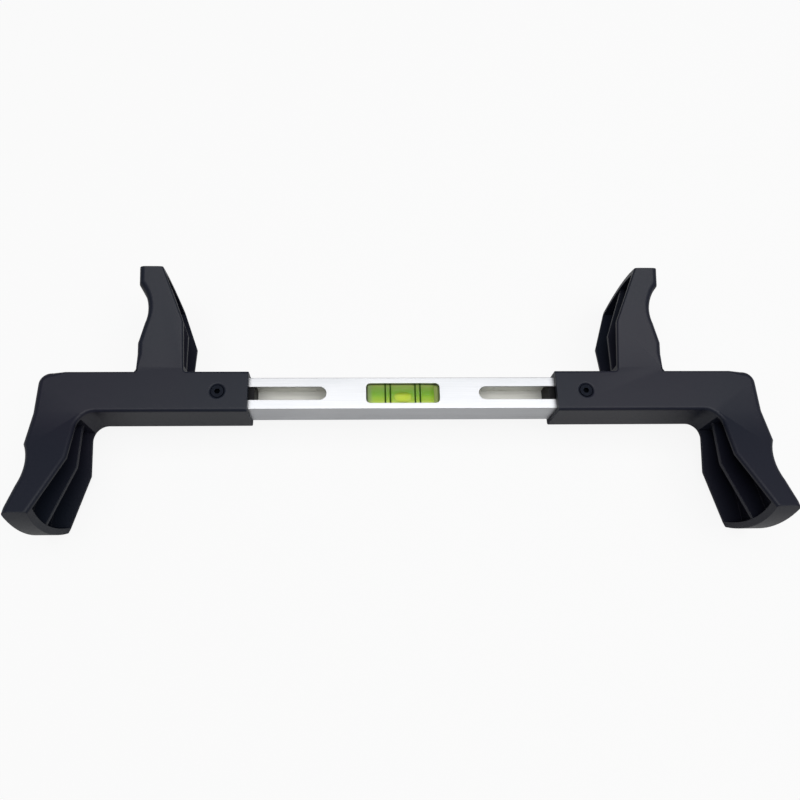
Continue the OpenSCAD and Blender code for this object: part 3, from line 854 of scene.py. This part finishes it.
vial = {
    # sizes in mm; thick acrylic magnifies what lies in it to almost its own width, so the spirit,
    # the bubble and the stopper are drawn that wide
    "length": 46.0, "stepsRound": 96, "squareness": 16,
    "endProfile": ((0.0, 5.7), (0.2, 6.15), (0.8, 6.35)),  # depth from the end, half height
    "spiritRadius": 6.0, "spiritWiden": 1.045, "sag": 0.1, "endRound": 0.8,
    "closedEnd": -20.4, "stopperFace": 18.0, "stopperEnd": 23.0,
    "stopperGap": 0.06,  # between the spirit and the stopper
    "ringPitch": 1.1, "ringHeight": 0.3, "stopperInset": 0.2,  # the stopper's rings
    "inkInner": 6.37, "inkOuter": 6.45,
    "paintedLightReach": 5.9,  # reach of the spirit's painted light and shade, up and down from the middle
    "shadeStart": 21.5,  # x from which the stopper lies in the tube's shade
}
bubble = {
    "length": 10.4, "height": 0.25, "lift": 0.02,  # mm; lift is off the spirit's surface
    "turn": -14.0, "halfTurn": 28.0,  # degrees round the vial, its middle and half its width
    "rings": 8, "steps": 48,
    "paintedLightLow": -4.8, "paintedLightHigh": 1.6,  # mm, reach of its painted light and shade
}
materials["spirit"] = dyedSpiritPaintedLight(vial)
materials["bubble"] = spiritBubble(bubble)
materials["stopper"] = oliveStopper(vial)


def swell(angle):
    # the vial's section is round at its back and almost square in front, where it fills the window
    power = vial["squareness"]
    if math.cos(angle) <= 0:
        return 1
    return (math.sin(angle) ** power + math.cos(angle) ** power) ** (-1 / power)


def vialPiece(name, outline, centre, material, steps, widen=1.0):
    # a closed solid along X; the outline is (x, half height) pairs in mm, and widen is its width
    # by its height
    points, faces = [(outline[0][0] * mm, centre.y, centre.z)], []
    for x, half in outline:
        for i in range(steps):
            angle = 2 * math.pi * i / steps
            radius = half * swell(angle) * mm
            points.append((
                x * mm, centre.y + widen * radius * math.sin(angle),
                centre.z + radius * math.cos(angle)))
    points.append((outline[-1][0] * mm, centre.y, centre.z))
    last = len(points) - 1
    for i in range(steps):
        j = (i + 1) % steps
        faces.append((0, 1 + i, 1 + j))
        for ring in range(len(outline) - 1):
            low, high = 1 + ring * steps, 1 + (ring + 1) * steps
            faces.append((low + i, high + i, high + j, low + j))
        faces.append((last, last - steps + j, last - steps + i))
    return outward(meshPiece(name, points, faces, material))


def printedBand(name, start, end, part, centre, material):
    # a thin closed band round the vial between two places along it
    steps, inner, outer = part["stepsRound"], part["inkInner"], part["inkOuter"]
    points, faces = [], []
    for i in range(steps):
        angle = 2 * math.pi * i / steps
        for x, half in ((start, inner), (end, inner), (end, outer), (start, outer)):
            radius = half * swell(angle) * mm
            points.append((
                x, centre.y + radius * math.sin(angle), centre.z + radius * math.cos(angle)))
        here, ahead = 4 * i, 4 * ((i + 1) % steps)
        for k in range(4):
            faces.append((here + k, ahead + k, ahead + (k + 1) % 4, here + (k + 1) % 4))
    return outward(meshPiece(name, points, faces, material, smooth=False))


def spiritOutline(part):
    # a faint barrel with rounded ends
    start, end = part["closedEnd"], part["stopperFace"] - part["stopperGap"]
    radius, sag, curve = part["spiritRadius"], part["sag"], part["endRound"]
    shoulder = radius - sag - curve
    curveSteps, runSteps = 6, 12
    outline = []
    for i in range(curveSteps + 1):
        angle = math.radians(90 / curveSteps * i)
        outline.append((
            start + curve * (1 - math.cos(angle)), shoulder + curve * math.sin(angle)))
    middle, half = (start + end) / 2, (end - start) / 2
    for i in range(1, runSteps):
        x = start + curve + (end - start - curve) * i / runSteps
        outline.append((x, radius - sag * ((x - middle) / half) ** 2))
    outline.append((end, radius - sag))
    return outline


def stopperOutline(part):
    # rings round the stopper, each a shallow half wave
    start, end, steps = part["stopperFace"], part["stopperEnd"], 40
    outline = []
    for i in range(steps + 1):
        x = start + (end - start) * i / steps
        wave = abs(math.sin(math.pi * (x - start) / part["ringPitch"]))
        outline.append((
            x, part["spiritRadius"] - part["stopperInset"] - part["ringHeight"] * wave))
    return outline


def buildBubble(part, vialPart, centre, material):
    # a lens that lies on the spirit's surface, with a flat underside and an oval rim
    base = vialPart["spiritRadius"] + part["lift"]
    rings, steps = part["rings"], part["steps"]
    points, faces = [], []

    def place(share, angle, lift):
        turn = math.radians(part["turn"] + part["halfTurn"] * share * math.sin(angle))
        radius = (base + lift) * swell(turn) * mm
        points.append((
            part["length"] / 2 * share * math.cos(angle) * mm,
            centre.y + radius * math.sin(turn), centre.z + radius * math.cos(turn)))

    for side in (1, 0):
        place(0, 0, part["height"] * side)
        for ring in range(1, rings + 1 if side else rings):
            share = math.sin(math.pi / 2 * ring / rings)
            lift = side * part["height"] * math.sqrt(max(1 - share ** 2, 0))
            for i in range(steps):
                place(share, 2 * math.pi * i / steps, lift)
    under = 1 + rings * steps  # index of the underside's middle point

    def ringStart(side, ring):
        # both sides share the rim
        return (ring - 1) * steps + (1 if side or ring == rings else under + 1)

    for side in (1, 0):
        middle = 0 if side else under
        for i in range(steps):
            j = (i + 1) % steps
            faces.append((middle, ringStart(side, 1) + i, ringStart(side, 1) + j))
            for ring in range(1, rings):
                low, high = ringStart(side, ring), ringStart(side, ring + 1)
                faces.append((low + i, high + i, high + j, low + j))
    return outward(meshPiece("bubble_lens", points, faces, material))


def buildVial(part):
    low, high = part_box("vial_body")
    centre = (low + high) / 2
    rim = [(part["length"] / 2 - depth, half) for depth, half in part["endProfile"]]
    block = [(-x, half) for x, half in rim] + rim[::-1]
    pieces = {
        "vial_block": ("vial_body", "acrylic", "clear_acrylic", block),
        "vial_spirit": ("vial_liquid", "spirit", "green_liquid", spiritOutline(part)),
        "vial_stopper": ("vial_plug", "stopper", "olive_plastic", stopperOutline(part)),
    }
    for name, (node, finish, slot, outline) in pieces.items():
        widen = 1 if name == "vial_block" else part["spiritWiden"]
        piece = vialPiece(name, outline, centre, materials[finish], part["stepsRound"], widen)
        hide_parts(node)
        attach(piece, "bar")
    for n in (1, 2, 3, 4):
        node = "vial_line_" + str(n)
        start, end = (corner.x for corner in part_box(node))
        band = printedBand("vial_band_" + str(n), start, end, part, centre, materials["ink"])
        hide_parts(node)
        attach(band, "bar")
    lens = buildBubble(bubble, part, centre, materials["bubble"])
    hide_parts("vial_bubble")
    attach(lens, "bubble")


buildVial(vial)
print("vial made")


# CAD nodes that keep their shape

screw = {"headTop": 41.4, "socketShadeDepth": 1.0}  # mm, above the table and down into the socket
materials["oxide"] = blackOxideSteel(screw)
kept = {
    "left_slider_block": "nylon", "right_slider_block": "nylon", "left_guide_screw": "oxide",
    "right_guide_screw": "oxide", "left_block_nut": "zinc", "right_block_nut": "zinc",
    "left_tube_plug": "nylon", "right_tube_plug": "nylon", "vial_cradle": "styrene",
}
for nodeName, finish in kept.items():
    for slot in nodes[nodeName].material_slots:
        slot.material = materials[finish]
print("kept nodes dressed:", len(kept))


# stage

stage = {
    "floorSize": 6.0,  # m
    "floorColour": "#cfcfcf",
    "lampPlace": (0.25, 0.0, 1.5), "lampSize": (2.2, 1.2),  # m, a flat panel that faces down
    "lampWatts": 28,
    "roomLight": 0.13,  # strength of the world, which fills the shadows
    "whiteShare": 0.9,  # how far floor and world are white to the camera and through clear pieces
    "glossShare": 0.05,  # the same in reflections, where they keep the object's shadow
    "cameraPlace": (-0.02734, -0.14671, 0.40767),  # m, solved from the photograph's view
    "cameraTurn": (20.988, -1.820, -0.889),  # degrees
    "lens": 31.44, "sensor": 36,  # mm
    "shift": (0.0254, 0.0014),
    "nearest": 0.01,  # m from the camera
}


def whiteToRays(tree, part):
    # how far the background is plain white, by the kind of ray that sees it
    ray = addNode(tree, "ShaderNodeLightPath").outputs
    plain = addNode(tree, "ShaderNodeMath", {"operation": "MAXIMUM"}, {
        0: ray["Is Camera Ray"], 1: ray["Is Transmission Ray"]})
    direct = addNode(tree, "ShaderNodeMath", {"operation": "MULTIPLY"}, {
        0: plain, 1: part["whiteShare"]})
    mirrored = addNode(tree, "ShaderNodeMath", {"operation": "MULTIPLY"}, {
        0: ray["Is Glossy Ray"], 1: part["glossShare"]})
    return addNode(tree, "ShaderNodeMath", {"operation": "MAXIMUM"}, {0: direct, 1: mirrored})


def buildFloor(part):
    # the paper is white to the camera, and still takes a faint shadow
    material, tree = newMaterial("paperSweep")
    paper = addNode(tree, "ShaderNodeBsdfDiffuse", {}, {"Color": hexColour(part["floorColour"])})
    glow = addNode(tree, "ShaderNodeEmission", {}, {"Color": (1, 1, 1, 1), "Strength": 1.0})
    both = addNode(tree, "ShaderNodeMixShader", {}, {
        0: whiteToRays(tree, part), 1: paper, 2: glow})
    addNode(tree, "ShaderNodeOutputMaterial", {}, {"Surface": both})
    half = part["floorSize"] / 2
    corners = [(-half, -half, 0), (half, -half, 0), (half, half, 0), (-half, half, 0)]
    floor = meshPiece("floor", corners, [(0, 1, 2, 3)], material)


def buildLight(part):
    panel = bpy.data.lights.new("overhead", "AREA")
    panel.shape = "RECTANGLE"
    panel.size, panel.size_y = part["lampSize"]
    panel.energy = part["lampWatts"]
    lamp = bpy.data.objects.new("overhead", panel)
    lamp.location = part["lampPlace"]
    scene.collection.objects.link(lamp)

    world = bpy.data.worlds.new("softRoom")
    world.use_nodes = True
    tree = world.node_tree
    level = addNode(tree, "ShaderNodeMath", {"operation": "MULTIPLY_ADD"}, {
        0: whiteToRays(tree, part), 1: 1 - part["roomLight"], 2: part["roomLight"]})
    room = tree.nodes["Background"].inputs
    tree.links.new(level.outputs[0], room["Strength"])
    room["Color"].default_value = (1, 1, 1, 1)
    scene.world = world
    scene.view_settings.view_transform = "Standard"


def buildCamera(part):
    lens = bpy.data.cameras.new("photoCamera")
    lens.sensor_width = part["sensor"]
    lens.lens = part["lens"]
    lens.shift_x, lens.shift_y = part["shift"]
    lens.clip_start = part["nearest"]
    camera = bpy.data.objects.new("photoCamera", lens)
    camera.location = part["cameraPlace"]
    camera.rotation_euler = [math.radians(a) for a in part["cameraTurn"]]
    scene.collection.objects.link(camera)
    scene.camera = camera


buildFloor(stage)
buildLight(stage)
buildCamera(stage)
print("stage made")
